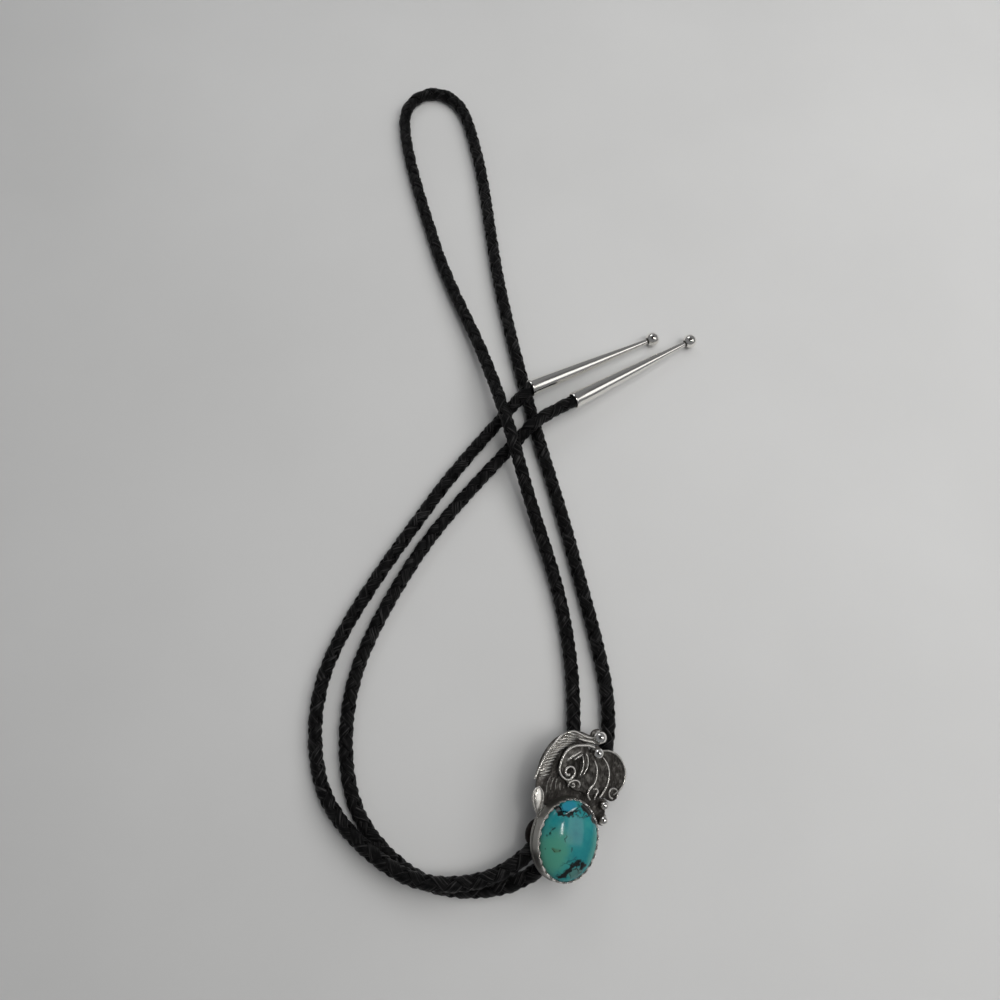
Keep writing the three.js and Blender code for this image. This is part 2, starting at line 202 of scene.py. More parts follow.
# %% [markdown]
# The cord is the longest thing here, 1.09 m from tip to tip. Its route is a smooth line through
# listed points: down one tail, through the clip, round the neck loop, back through the clip and up
# the other tail. Where a run crosses another it rises over it in a long low hump.

# %% Route of the cord
CORD_DIAMETER = 0.0045
cord_route = [
    (-0.0077, 0.1386, 0.0074), (-0.0121, 0.1364, 0.0080), (-0.0219, 0.1270, 0.0039),
    (-0.0470, 0.0952, 0.0023), (-0.0790, 0.0385, 0.0023), (-0.0790, 0.0090, 0.0023),
    (-0.0695, -0.0064, 0.0053), (-0.0475, -0.0206, 0.0077), (-0.0270, -0.0205, 0.0068),
    (-0.0133, -0.0124, 0.0072), (-0.0079, -0.0041, 0.0062), (-0.0025, 0.0042, 0.0051),
    (0.0004, 0.0290, 0.0024), (-0.0026, 0.0600, 0.0023), (-0.0132, 0.0980, 0.0052),
    (-0.0197, 0.1210, 0.0097), (-0.0285, 0.1500, 0.0050), (-0.0475, 0.1990, 0.0023),
    (-0.0615, 0.2644, 0.0023), (-0.0550, 0.2731, 0.0023), (-0.0471, 0.2738, 0.0023),
    (-0.0398, 0.2680, 0.0023), (-0.0323, 0.2440, 0.0023), (-0.0228, 0.1810, 0.0023),
    (-0.0123, 0.1320, 0.0023), (0.0016, 0.0780, 0.0023), (0.0112, 0.0300, 0.0023),
    (0.0094, 0.0130, 0.0026), (0.0023, 0.0009, 0.0034), (-0.0031, -0.0075, 0.0044),
    (-0.0085, -0.0158, 0.0055), (-0.0230, -0.0234, 0.0030), (-0.0460, -0.0216, 0.0023),
    (-0.0663, -0.0025, 0.0023), (-0.0703, 0.0320, 0.0023), (-0.0510, 0.0765, 0.0023),
    (-0.0180, 0.1170, 0.0036), (-0.0102, 0.1238, 0.0077), (0.0032, 0.1324, 0.0062),
    (0.0076, 0.1349, 0.0058),
]


def smooth_line(points, steps_each):
    """A centripetal Catmull-Rom line through the points, which never dips into the table."""
    points = np.array(points)
    before = 2 * points[0] - points[1]
    after = 2 * points[-1] - points[-2]
    padded = np.vstack([before, points, after])
    line = []
    for p0, p1, p2, p3 in zip(padded, padded[1:], padded[2:], padded[3:]):
        gap0, gap1, gap2 = (math.sqrt(np.linalg.norm(b - a)) for a, b in ((p0, p1), (p1, p2), (p2, p3)))
        slope1 = ((p1 - p0) / gap0 - (p2 - p0) / (gap0 + gap1) + (p2 - p1) / gap1) * gap1
        slope2 = ((p2 - p1) / gap1 - (p3 - p1) / (gap1 + gap2) + (p3 - p2) / gap2) * gap1
        for t in np.arange(steps_each) / steps_each:
            square, cube = t * t, t * t * t
            line.append(
                (2 * cube - 3 * square + 1) * p1
                + (cube - 2 * square + t) * slope1
                + (3 * square - 2 * cube) * p2
                + (cube - square) * slope2
            )
    line.append(points[-1])
    line = np.array(line)
    line[:, 2] = np.maximum(line[:, 2], CORD_DIAMETER / 2)
    return line


def evenly_spaced(line, step):
    """The same line with a point at every step along it."""
    along = np.concatenate([[0], np.cumsum(np.linalg.norm(np.diff(line, axis=0), axis=1))])
    count = int(round(along[-1] / step))
    stations = np.linspace(0, along[-1], count + 1)
    return stations, np.stack([np.interp(stations, along, line[:, axis]) for axis in range(3)], axis=1)


CORD_STEP = 0.00072
stations, centre_line = evenly_spaced(smooth_line(cord_route, 60), CORD_STEP)
print("cord length, m:", round(stations[-1], 3), "in", len(stations), "stations")

# %% [markdown]
# Four flat laces make the braid. Two wind round one way and two the other way, and each goes over and
# under the ones it meets. A picture of a braid on a tube would look flat from the side, so each lace is a
# real ribbon that follows its own path on a cylinder. To carry that cylinder along the route without
# twist, each station's side direction is the last one, turned as little as possible.

# %% Directions across the cord at each station
heading = np.gradient(centre_line, axis=0)
heading /= np.linalg.norm(heading, axis=1)[:, None]
sideways = np.zeros_like(heading)
sideways[0] = np.cross(heading[0], (0, 0, 1))
sideways[0] /= np.linalg.norm(sideways[0])
for index in range(1, len(heading)):
    turned = sideways[index - 1] - heading[index] * (sideways[index - 1] @ heading[index])
    sideways[index] = turned / np.linalg.norm(turned)
upwards = np.cross(heading, sideways)
print("last side direction:", np.round(sideways[-1], 2))

# %% [markdown]
# One turn of a lace takes 14.3 mm, as counted in the picture. Its height above the axis swings once for
# each two laces it crosses, so a lace is outermost along two lines of the cord. The braid is turned by an
# eighth, which puts two of those lines beside each other on top and gives the rows of slanted grains that
# meet in a V. The laces aren't perfectly even on a real cord, so their height, width and winding drift
# slowly.

# %% Braid the four laces
LACE_TURN = 0.0143
LACE_WIDTH = 0.0042
LACE_THICKNESS = 0.00115
LACE_SWING = 0.0003
LACE_STANDS_OUT = 0.00012
LACE_AXIS_RADIUS = CORD_DIAMETER / 2 + LACE_STANDS_OUT - LACE_SWING - LACE_THICKNESS / 2
# A lace is stiff across its width, so it wraps a larger circle than the one its middle follows.
LACE_WRAP_RADIUS = 1.35 * LACE_AXIS_RADIUS
COLUMN_TURN = math.pi / 4
# How far the winding (in radians), the swing and the width (as shares) drift.
WINDING_DRIFT = 0.16
SWING_DRIFT = 0.12
WIDTH_DRIFT = 0.07
# Each strand starts elsewhere in the leather's textures, so that no two show the same grain.
TEXTURE_SHIFT = (0.31, 0.01)
CORE_RADIUS = 0.00155
CORE_CORNERS = 7
# A lace's section, in shares of half its width and thickness. Its outer face has three soft ribs.
LACE_WIDE = np.array([1.0, 0.9, 0.68, 0.34, 0.0, -0.34, -0.68, -0.9, -1.0, -0.84, -0.3, 0.3, 0.84])
LACE_THIN = np.array([0.0, 0.62, 1.0, 0.74, 1.0, 0.74, 1.0, 0.62, 0.0, -0.75, -1.0, -1.0, -0.75])


def drift(seed, wavelength):
    """A slow, repeatable unevenness along the cord, of this wavelength, about -1 to 1."""
    phase = 2 * np.pi * stations / wavelength
    return (np.sin(phase + seed) + np.sin(phase * 1.73 + 2.1 * seed) + np.sin(phase * 0.57 + 3.3 * seed)) / 2


def place_on_cord(along, angle, radius):
    """Points at these distances along the cord, angles round it and distances from its axis."""
    def sample(values):
        return np.stack([np.interp(along, stations, values[:, axis]) for axis in range(3)], axis=-1)

    ring = np.cos(angle)[..., None] * sample(sideways) + np.sin(angle)[..., None] * sample(upwards)
    return sample(centre_line) + radius[..., None] * ring


def lace(number, way, start_angle):
    """One lace: its points, ring after ring, and its own length and width coordinates."""
    winding = 2 * np.pi * stations / LACE_TURN + WINDING_DRIFT * drift(1.7, 0.09)
    swing = way * LACE_SWING * np.cos(2 * winding) * (1 + SWING_DRIFT * drift(number + 0.4, 0.05))
    width = LACE_WIDTH * (1 + WIDTH_DRIFT * drift(number + 2.2, 0.06))
    slant = math.atan(2 * math.pi * LACE_AXIS_RADIUS / LACE_TURN)
    off_middle = width[:, None] / 2 * LACE_WIDE
    along = np.clip(stations[:, None] - way * off_middle * math.sin(slant), 0, stations[-1])
    angle = start_angle + way * winding[:, None] + off_middle * math.cos(slant) / LACE_WRAP_RADIUS
    radius = LACE_AXIS_RADIUS + swing[:, None] + LACE_THICKNESS / 2 * LACE_THIN
    return place_on_cord(along, angle, radius), off_middle


def core():
    """The black core inside the laces, which closes the pinholes between them."""
    angle = np.arange(CORE_CORNERS) * 2 * np.pi / CORE_CORNERS
    along = np.repeat(stations[:, None], CORE_CORNERS, axis=1)
    return place_on_cord(along, angle, np.full(along.shape, CORE_RADIUS)), along * 0


points, faces, lengthwise, crosswise = [], [], [], []
lace_starts = [(1, 0), (1, math.pi), (-1, 0), (-1, math.pi)]
strands = [lace(number, way, angle + COLUMN_TURN) for number, (way, angle) in enumerate(lace_starts)]
for number, (places, off_middle) in enumerate([*strands, core()]):
    corner_count = places.shape[1]
    first = sum(len(block) for block in points)
    points.append(places.reshape(-1, 3))
    lengthwise.append(np.repeat(stations, corner_count) + TEXTURE_SHIFT[0] * number)
    crosswise.append(off_middle.ravel() + TEXTURE_SHIFT[1] * number)
    rings = first + np.arange(len(stations) * corner_count).reshape(-1, corner_count)
    after = np.roll(rings, -1, axis=1)
    quads = np.stack([rings[:-1], after[:-1], after[1:], rings[1:]], axis=-1).reshape(-1, 4)
    faces += quads.tolist()
    faces += [rings[0, ::-1].tolist(), rings[-1].tolist()]

cord_mesh = bpy.data.meshes.new("braided_laces")
cord_mesh.from_pydata(np.vstack(points).tolist(), [], faces)
cord = bpy.data.objects.new("braided_laces", cord_mesh)
bpy.context.collection.objects.link(cord)
lace_map = cord_mesh.uv_layers.new(name="lace_map")
loop_points = np.array([loop.vertex_index for loop in cord_mesh.loops])
lace_coordinates = np.stack([np.concatenate(lengthwise), np.concatenate(crosswise)], axis=1)[loop_points]
lace_map.data.foreach_set("uv", lace_coordinates.astype(np.float32).ravel())
face_outward(cord)
bpy.ops.object.shade_smooth()
print("laces:", len(cord_mesh.polygons), "faces")

# %% [markdown]
# The leather is dyed black and a little waxy. Fine lines run along each lace, over a grain of small stretched
# cells.
# The lines are raised by a bump, and their glints are a painted highlight: the lines are coloured lighter.
# Both are set on the lace's own coordinates, so that they turn with it.


# %% Helpers for materials
def new_material(name):
    """An empty procedural material, with its Principled shader."""
    material = bpy.data.materials.new(name)
    material.use_nodes = True
    return material, material.node_tree, material.node_tree.nodes["Principled BSDF"]


def plug(tree, target, inputs):
    """Give each input of a node a number, a colour or another node's output."""
    for name, value in inputs.items():
        if isinstance(value, bpy.types.NodeSocket):
            tree.links.new(value, target.inputs[name])
        else:
            target.inputs[name].default_value = value


def node(tree, kind, inputs=None, **settings):
    """A shader node with these inputs and settings."""
    made = tree.nodes.new("ShaderNode" + kind)
    for name, value in settings.items():
        setattr(made, name, value)
    plug(tree, made, inputs or {})
    return made


def object_place(tree):
    """The place of each shaded point in its piece."""
    return node(tree, "TexCoord").outputs["Object"]


def mapped(tree, vector, **settings):
    """Coordinates that are moved, turned or scaled first."""
    inputs = {name.capitalize(): value for name, value in settings.items()}
    return node(tree, "Mapping", {"Vector": vector, **inputs}).outputs["Vector"]


def noise(tree, vector, scale, detail, roughness=0.5, output="Fac"):
    """Soft procedural noise, about 0.3 to 0.7."""
    inputs = {"Vector": vector, "Scale": scale, "Detail": detail, "Roughness": roughness}
    return node(tree, "TexNoise", inputs).outputs[output]


def bump(tree, height, distance, strength, under=None, invert=False):
    """A surface direction that follows a height, on top of another bump if one is given."""
    inputs = {"Height": height, "Distance": distance, "Strength": strength}
    if under is not None:
        inputs["Normal"] = under
    return node(tree, "Bump", inputs, invert=invert).outputs["Normal"]


def ramp(tree, factor, stops):
    """A colour ramp with (place, colour) stops."""
    made = node(tree, "ValToRGB", {"Fac": factor})
    elements = made.color_ramp.elements
    while len(elements) < len(stops):
        elements.new(0.5)
    for element, (place, colour) in zip(elements, stops):
        element.position = place
        element.color = (*colour, 1)
    return made.outputs["Color"]


def blend_colours(tree, factor, first, second, how="MIX"):
    """Mixes two colours by a factor."""
    made = node(tree, "Mix", data_type="RGBA", blend_type=how)
    plug(tree, made, {0: factor})
    for socket, colour in ((6, first), (7, second)):
        plug(tree, made, {socket: (*colour, 1) if isinstance(colour, tuple) else colour})
    return made.outputs[2]


def remap(tree, value, low, high, new_low=0.0, new_high=1.0):
    """Spreads a value from one range over another, smoothly."""
    inputs = {"Value": value, "From Min": low, "From Max": high, "To Min": new_low, "To Max": new_high}
    return node(tree, "MapRange", inputs, interpolation_type="SMOOTHSTEP").outputs["Result"]


def combined(tree, how, first, *others):
    """Several values put together with one maths operation."""
    result = first
    for other in others:
        result = node(tree, "Math", {0: result, 1: other}, operation=how).outputs[0]
    return result


print("material helpers ready")

# %% Black braided leather
leather, tree, shader = new_material("braided_leather")
lace_uv = node(tree, "UVMap", uv_map="lace_map").outputs["UV"]
stretched = mapped(tree, lace_uv, scale=(0.35, 1, 1))
lengthened = mapped(tree, lace_uv, scale=(0.05, 1, 1))
grain = node(tree, "TexVoronoi", {"Vector": stretched, "Scale": 2600}, feature="F1")
creases = noise(tree, stretched, 1500, 4, 0.6)
lines = noise(tree, lengthened, 2600, 1)
patches = noise(tree, lace_uv, 90, 2)
colour = ramp(tree, patches, [(0.35, (0.001, 0.001, 0.0011)), (0.7, (0.003, 0.0028, 0.0029))])
# The lighter colour of the lines is a painted highlight. It stands in for the glints along the laces.
colour = blend_colours(tree, remap(tree, lines, 0.54, 0.7), colour, (0.036, 0.035, 0.035))
relief = bump(tree, lines, 0.0005, 1.0)
relief = bump(tree, grain.outputs["Distance"], 0.00008, 0.6, relief)
leather_inputs = {
    "Base Color": colour,
    "Roughness": remap(tree, creases, 0.3, 0.75, 0.3, 0.5),
    "Specular IOR Level": 0.15,
    "Normal": bump(tree, creases, 0.00012, 0.6, relief),
}
plug(tree, shader, leather_inputs)
cord.data.materials.append(leather)
print("leather:", len(tree.nodes), "nodes")

# %% [markdown]
# The slide lies on the cords, so it leans 14 degrees to the right at the top and its left side is lifted
# 18 degrees. Its pieces are easier to model lying flat and upright, so each is built in the slide's own
# frame, in millimetres from the middle of the stone: across to the right, up along the slide and out of
# its face. One turn and shift at the end puts each in its place.

# %% The slide's own frame
SLIDE_PLACE = Vector((-4.7765, -9.0091, 8.7702)) * MM
SLIDE_LEAN = math.radians(-14)
SLIDE_ROLL = math.radians(18)
slide_turn = Matrix.Rotation(SLIDE_LEAN, 4, "Z") @ Matrix.Rotation(SLIDE_ROLL, 4, "Y")
slide_frame = Matrix.Translation(SLIDE_PLACE) @ slide_turn
# The crest is built in layers. These are the heights of their faces above the slide's back.
PLATE = 1.0
STEP = 0.5
ground_top = PLATE + 0.4 * STEP
leaf_top = PLATE + STEP
middle_top = PLATE + 2 * STEP
scroll_top = PLATE + 3 * STEP


def place_on_slide(piece, material, smooth_degrees=40):
    """Move a finished piece from the slide's frame to its place and let it ride."""
    settle(piece)
    face_outward(piece)
    bpy.ops.object.shade_smooth_by_angle(angle=math.radians(smooth_degrees))
    piece.matrix_world = slide_frame
    settle(piece)
    piece.data.materials.clear()
    piece.data.materials.append(material)
    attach(piece, "root")
    print(piece.name, len(piece.data.polygons), "faces")


def store_rise(piece, values):
    """Store how high each point stands in its relief, 0 in the hollow and 1 on the worn top."""
    rise = piece.data.attributes.new("rise", "FLOAT", "POINT")
    rise.data.foreach_set("value", np.array(values, np.float32))


def mark_rise(piece, low, high):
    """Store each point's rise from its height, before the piece is placed."""
    heights = np.array([point.co.z / MM for point in piece.data.vertices])
    store_rise(piece, np.clip((heights - low) / (high - low), 0, 1))


def crest_piece(name, pieces, material, low, high):
    """One silver piece of several, dark below the first height and worn bright above the second."""
    whole = join(name, pieces)
    mark_rise(whole, low, high)
    place_on_slide(whole, material)
    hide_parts("slide_setting")
    return whole


print("slide frame at", [round(value / MM, 1) for value in slide_frame.translation])

# %% [markdown]
# Old silver is dark where polishing can't reach and bright where hands and cloth rub it. Each silver piece
# carries a "rise" value on its points, and the material goes from black-brown tarnish to bright metal with
# it. Fine noise breaks the edge between the two. Brushed sheet also has long fine lines, made by noise
# that is stretched one way.


# %% Silver
def slide_coordinates(tree):
    """Object coordinates, turned back to the slide's frame, in millimetres."""
    back = slide_frame.inverted()
    shift, turn = back.translation / MM, back.to_euler("XYZ")
    return mapped(tree, object_place(tree), location=shift, rotation=turn, scale=(1 / MM,) * 3)


def silver_material(name, dark_tone, bright, dark_roughness, bright_roughness, spread, brushed=0.0):
    """Silver whose tarnish follows the stored rise, with brushed lines of this strength."""
    material, tree, shader = new_material(name)
    place = slide_coordinates(tree)
    rise = node(tree, "Attribute", attribute_name="rise").outputs["Fac"]
    blotches = noise(tree, place, 0.7, 5, 0.65)
    uneven = combined(tree, "ADD", rise, remap(tree, blotches, 0.3, 0.7, -spread, spread))
    worn = remap(tree, uneven, 0.15, 0.75)
    colour = blend_colours(tree, worn, dark_tone, bright)
    relief = bump(tree, noise(tree, place, 5.0, 3), 0.00004, 0.35)
    if brushed:
        long_way = mapped(tree, place, rotation=(0, 0, 0.5), scale=(9, 0.7, 1))
        lines = noise(tree, long_way, 1, 2)
        streaks = remap(tree, lines, 0.35, 0.65, 1 - brushed, 1 + brushed)
        colour = blend_colours(tree, 1.0, colour, streaks, "MULTIPLY")
        relief = bump(tree, lines, 0.00006, 0.5, relief)
    roughness = remap(tree, worn, 0, 1, dark_roughness, bright_roughness)
    plug(tree, shader, {"Base Color": colour, "Roughness": roughness, "Metallic": 1, "Normal": relief})
    return material


ground_silver = silver_material(
    "ground_silver", (0.066, 0.061, 0.056), (0.24, 0.23, 0.212), 0.55, 0.42, 0.24, brushed=0.5
)
relief_silver = silver_material("relief_silver", (0.1, 0.09, 0.082), (0.74, 0.72, 0.68), 0.45, 0.25, 0.12)
print("silver ready")

# %% [markdown]
# The crest starts as cut sheet: plates behind the scrolls, and three round lobes that step down to the
# right. Each is a disc with a softened upper edge, and the two outer lobes are slightly hollowed, as
# leaves stamped from sheet are.

# %% Sheet silver
HOLLOW_SHARES = (0.5, 0.8, 1.0)


def plate(across, up, half_across, half_up, top, edge=0.25, hollow=0.0):
    """An oval of sheet up to this height, its upper edge softened and its face hollowed if asked."""
    bpy.ops.mesh.primitive_cylinder_add(vertices=96, radius=MM, depth=MM, location=(0, 0, 0.5 * MM))
    piece = bpy.context.object
    settle(piece)
    piece.scale = (half_across, half_up, top)
    piece.location = (across * MM, up * MM, 0)
    settle(piece)
    with editing(piece):
        choose_cap(piece, 1)
        bpy.ops.mesh.bevel(offset=edge * MM, segments=3, affect="EDGES")
        for share in HOLLOW_SHARES if hollow else ():
            choose_cap(piece, 1)
            bpy.ops.mesh.inset(thickness=half_across * 0.3 * MM)
            raise_selected(-hollow * share * 0.5)
    return piece


sheets = [
    plate(-2.4, 18.0, 7.2, 10.85, ground_top),
    plate(-1.3, 21.0, 4.8, 5.7, scroll_top),
    plate(-6.0, 12.4, 4.56, 5.27, PLATE + 0.2 * STEP),
    plate(4.2, 12.4, 5.04, 2.79, PLATE + 0.2 * STEP),
    plate(9.1, 9.3, 2.64, 3.7, PLATE),
    plate(9.0, 20.1, 7.0, 7.0, leaf_top, hollow=0.35),
    plate(12.5, 15.1, 2.2, 2.2, leaf_top - 0.1),
    plate(4.3, 19.15, 6.1, 6.1, middle_top, hollow=0.3),
    plate(0.9, 18.7, 5.3, 5.3, scroll_top),
]
crest_piece("setting_sheet", sheets, ground_silver, -1.0, 9.0)

# %% [markdown]
# The bezel is a thin wall of soft silver around the stone. Its upper edge is cut in scallops and pushed
# over, which is what holds the stone. It is drawn up from an oval ring: the wall is extruded in steps,
# each a little narrower, and then the points between two scallops are moved down and out again. The wall
# stands on an oval of sheet.

# %% Bezel
STONE_HALF_WIDTH = 8.7
STONE_HALF_LENGTH = 11.0
SEAT_GAP = 0.3
BEZEL_WALL = 0.55
LEDGE = SEAT_GAP + BEZEL_WALL + 0.15
SCALLOPS = 28
POINTS_EACH = 8
RING_POINTS = POINTS_EACH * SCALLOPS
SHOULDER = 5.6
BEZEL_TOP = 6.0
# The wall's heights, each with the ring's size there as a share of its size at the foot.
wall_outline = [(0.0, 1.0), (PLATE, 1.0), (3.2, 0.995), (4.9, 0.985), (SHOULDER, 0.972), (BEZEL_TOP, 0.955)]
# How far points drop and spread, by how many points they are away from the crown of their scallop.
scallop_moves = {4: (0.8, 1.03), 3: (0.5, 1.02), 2: (0.18, 1.008), 1: (0.04, 1.002)}
SHOULDER_DROP = 0.7


def points_from_crown(point):
    """How many points away from the crown of the nearest scallop, 0 to 4."""
    angle = math.atan2(point.co.y / STONE_HALF_LENGTH, point.co.x / STONE_HALF_WIDTH)
    count = round(angle / (2 * math.pi) * RING_POINTS) % POINTS_EACH
    return min(count, POINTS_EACH - count)


def choose_bezel_points(height, away):
    """Select the points at this height that are so many points away from a crown."""
    def belongs(point):
        return abs(point.co.z / MM - height) < 0.02 and points_from_crown(point) == away

    choose(bezel, "VERT", belongs)


bpy.ops.mesh.primitive_circle_add(vertices=RING_POINTS, radius=MM)
bezel = bpy.context.object
bezel.scale = (STONE_HALF_WIDTH + SEAT_GAP, STONE_HALF_LENGTH + SEAT_GAP, 1)
settle(bezel)
with editing(bezel):
    draw_ring(wall_outline)
    for away, (drop, spread) in scallop_moves.items():
        choose_bezel_points(BEZEL_TOP, away)
        raise_selected(-drop)
        stretch_selected(spread, spread)
        choose_bezel_points(SHOULDER, away)
        raise_selected(-drop * SHOULDER_DROP)
use_modifier(bezel, "SOLIDIFY", thickness=0.42 * MM, offset=1, use_even_offset=True)
round_edges(bezel, 0.09, 2, 50)
bezel_foot = plate(0, 0, STONE_HALF_WIDTH + LEDGE, STONE_HALF_LENGTH + LEDGE, PLATE, edge=0.15)
bezel_silver = silver_material("bezel_silver", (0.34, 0.33, 0.31), (0.8, 0.78, 0.74), 0.4, 0.26, 0.08)
crest_piece("bezel", [bezel_foot, bezel], bezel_silver, 4.6, 5.9)

# %% [markdown]
# A feather curls round the left of the crest and ends in a small smooth leaf. Its vane is a flat band
# swept along the spine: a bevelled curve does that, with the width set at each knot, and its upper half is
# then pressed flat. A bright rim wire runs round the outside. The barbs are one tapering ridge, copied
# between the rim and the inner edge of the vane.

# %% Feather vane and leaf
VANE_HALF_WIDTH = 2.0
SWEEP_BOTTOM = 0.7
feather_spine = [(3.2, 29.0), (-3.0, 28.4), (-7.4, 25.1), (-9.8, 20.5), (-10.6, 15.5)]
neck_spine = [(-10.6, 15.5), (-10.75, 13.5), (-10.7, 11.5)]
root_line = [(4.0, 28.2), (1.4, 28.0), (-1.2, 28.0), (-2.9, 28.4)]


def at_height(flat_points, height):
    """Flat points, all at one height."""
    return [(across, up, height) for across, up in flat_points]


def swept_band(spine, taper, base, height):
    """The upper half of a round sweep, pressed to this height above its base, on a sheet below it."""
    piece = wire(at_height(spine, 0), VANE_HALF_WIDTH, taper)
    with editing(piece):
        cut_below(0)
        bpy.ops.mesh.select_all(action="SELECT")
        stretch_selected(1, 1, height / VANE_HALF_WIDTH)
        choose(piece, "FACE", lambda face: face.normal.z < -0.9)
        extrude_down(base - SWEEP_BOTTOM)
    piece.location = (0, 0, base * MM)
    settle(piece)
    return piece


vane = swept_band(feather_spine, (0.35, 0.8, 1.0, 1.03, 0.98), leaf_top - 0.3, 0.45)
neck = swept_band(neck_spine, (0.85, 0.62, 0.55), 0.75 * leaf_top, 0.3)
root = wire(at_height(root_line, leaf_top), 0.66, taper=(1, 1, 0.75, 0.3))
crest_piece("feather_vane", [vane, neck, root], relief_silver, 0.8, 2.7)

# %% Rim and leaf of the feather
outer_rim = [(3.6, 29.2), (0.6, 29.1), (-1.7, 29.5), (-3.6, 29.7), (-5.1, 29.2), (-6.6, 28.2), (-8.1, 26.4)]
outer_rim += [(-9.6, 23.5), (-10.9, 20.9), (-11.7, 18.2), (-12.3, 15.7), (-12.6, 13.9)]
rim_taper = (1.2, 1.1, 1, 0.9, 0.85, 0.85, 0.85, 1, 1, 1.05, 1.1, 1)
rim = wire(at_height(outer_rim, leaf_top), 0.37, taper=rim_taper)
leaf_spine = [(-10.8, 11.7), (-10.6, 10.2), (-10.3, 8.4), (-9.8, 6.3), (-9.25, 4.3)]
leaf = swept_band(leaf_spine, (0.3, 0.74, 0.84, 0.6, 0.12), leaf_top, 0.4)
leaf_left = [(-10.8, 12.2), (-11.75, 11.0), (-12.15, 9.5), (-11.7, 7.8), (-10.6, 5.8), (-9.2, 3.9)]
leaf_right = [(-10.8, 12.2), (-9.5, 11.0), (-8.85, 9.6), (-8.75, 8.0), (-8.95, 6.2), (-9.2, 3.9)]
leaf_rims = [
    wire(at_height(leaf_left, leaf_top), 0.36, taper=(0.5, 0.9, 1.1, 1.0, 0.8, 0.5)),
    wire(at_height(leaf_right, leaf_top), 0.28, taper=(0.5, 0.9, 1.0, 1.0, 0.8, 0.5)),
]
crest_piece("feather_rim", [rim, leaf, *leaf_rims], relief_silver, 1.3, 1.85)

# %% Barbs of the feather
BARBS = 15
BARB_REACH = 0.6
BARB_HALF_WIDTH = 0.41
BARB_HALF_HEIGHT = 0.62
BARB_TILT = math.radians(3)
BARB_HEIGHT = leaf_top + 0.16
barb_roots = [(-5.9, 29.0), (-8.5, 25.3), (-10.6, 21.7), (-11.3, 18.6), (-12.0, 14.7)]
barb_ends = [(-2.6, 28.7), (-3.1, 26.5), (-6.6, 23.4), (-8.2, 19.8), (-8.7, 16.1)]
# Behind each of these places the barb is narrowed a little more, so that it tapers to its root.
barb_tapers = [(-0.1, 0.85), (-0.45, 0.8), (-0.75, 0.7)]


def along_line(line, share):
    """The place at a share of the way along flat points."""
    knots = np.linspace(0, 1, len(line))
    return np.array([np.interp(share, knots, values) for values in np.array(line).T])


bpy.ops.mesh.primitive_uv_sphere_add(segments=14, ring_count=12, radius=MM)
first_barb = bpy.context.object
first_barb.rotation_euler = (0, math.radians(90), 0)
settle(first_barb)
with editing(first_barb):
    for limit, narrowing in barb_tapers:
        choose(first_barb, "VERT", lambda point: point.co.x < limit * MM)
        stretch_selected(1, narrowing)
barb_pieces = []
for number in range(BARBS):
    share = number / (BARBS - 1)
    start, end = along_line(barb_roots, share), along_line(barb_ends, share)
    middle, reach = (start + end) / 2, end - start
    pick(first_barb)
    bpy.ops.object.duplicate()
    barb = bpy.context.object
    unevenness = 1 + 0.06 * math.sin(2.6 * number)
    barb.scale = (np.linalg.norm(reach) * BARB_REACH * unevenness, BARB_HALF_WIDTH, BARB_HALF_HEIGHT)
    barb.rotation_euler = (0, BARB_TILT, math.atan2(reach[1], reach[0]))
    barb.location = (middle[0] * MM, middle[1] * MM, BARB_HEIGHT * MM)
    settle(barb)
    barb_pieces.append(barb)
pick(first_barb)
bpy.ops.object.delete()
crest_piece("feather_barbs", barb_pieces, relief_silver, 1.3, 1.9)

# %% [markdown]
# Scrolls of round silver wire are soldered on the lobes, with a bright rim wire round the edge of each
# lobe. A curve with a round bevel is much like a bent wire, so each scroll is drawn as one.

# %% Rims and scroll wires
WIRE = 0.34


def arc(across, up, radius, height, start, end, knots=9):
    """Points on part of a circle, from one angle to another."""
    angles = np.radians(np.linspace(start, end, knots))
    return [(across + radius * math.cos(angle), up + radius * math.sin(angle), height) for angle in angles]


def scroll(flat_points, radius=WIRE, taper=None, height=scroll_top):
    """A wire through flat points at one height."""
    return wire(at_height(flat_points, height), radius, taper)


big_scroll = [(3.4, 26.7), (1.8, 26.8), (-0.4, 26.4), (-2.8, 25.6), (-4.4, 24.3), (-5.6, 22.2), (-6.1, 19.9)]
big_scroll += [(-6.0, 18.0), (-5.2, 16.7), (-4.0, 16.0), (-2.7, 15.9), (-1.5, 16.9), (-1.1, 18.2)]
big_scroll += [(-1.6, 19.3), (-2.6, 19.7), (-3.7, 19.1), (-4.1, 18.0), (-3.5, 17.2), (-2.6, 17.4)]
small_scroll = [(-2.3, 13.9), (-2.2, 15.0), (-1.6, 15.7), (-0.5, 16.2), (0.6, 16.1), (1.2, 15.3), (1.0, 14.4)]
small_curl = [(-1.3, 15.0), (-0.7, 15.2), (-0.4, 14.7), (-0.8, 14.2), (-1.3, 14.3)]
middle_rim = [(7.2, 24.5), (8.9, 22.9), (10.1, 20.5), (10.2, 17.6), (9.5, 15.1), (8.6, 13.2)]
inner_rim = [(4.4, 23.0), (5.6, 21.0), (6.0, 18.6), (5.6, 16.4), (4.5, 14.4), (4.4, 13.0), (5.4, 11.9)]
outer_vein = [(1.2, 24.5), (2.0, 23.4), (2.4, 22.0), (2.4, 20.2), (1.7, 18.3)]
inner_vein = [(0.3, 23.4), (1.0, 21.7), (1.1, 19.7), (0.6, 17.8)]
outer_barb = [(-4.2, 21.1), (-2.5, 22.9), (-0.5, 24.6)]
inner_barb = [(-1.9, 21.9), (-0.8, 23.0), (0.2, 23.9)]
hook = [(7.0, 12.2), (7.2, 13.6), (7.6, 14.8), (6.9, 15.3), (5.9, 15.0)]
